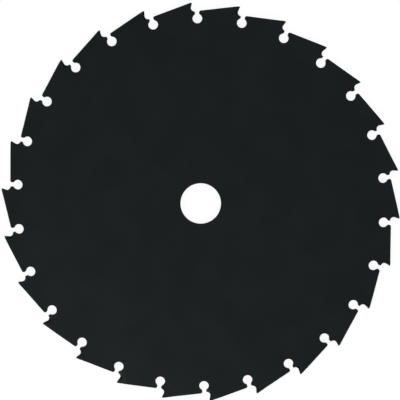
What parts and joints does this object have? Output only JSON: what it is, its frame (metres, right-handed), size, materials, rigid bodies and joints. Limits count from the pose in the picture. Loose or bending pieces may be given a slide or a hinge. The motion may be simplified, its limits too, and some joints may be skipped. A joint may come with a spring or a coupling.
{
  "type": "brush cutter blade",
  "caption": "Flat round steel saw blade for a brush cutter, with a plain centre bore and a rim of hooked chisel teeth, each with a keyhole gullet, set to alternate sides.",
  "frame": {"origin": "centre of the bore, on the underside of the plate", "axes": "+Z along the bore axis, square to the plate; +Y through the middle of one gullet; seen from +Z the teeth point clockwise"},
  "size_m": [0.249, 0.25, 0.003],
  "materials": {
    "coated_steel": "matt blue-black coat on steel"
  },
  "bodies": {
    "root": {"blade": "coated_steel"}
  },
  "joints": []
}
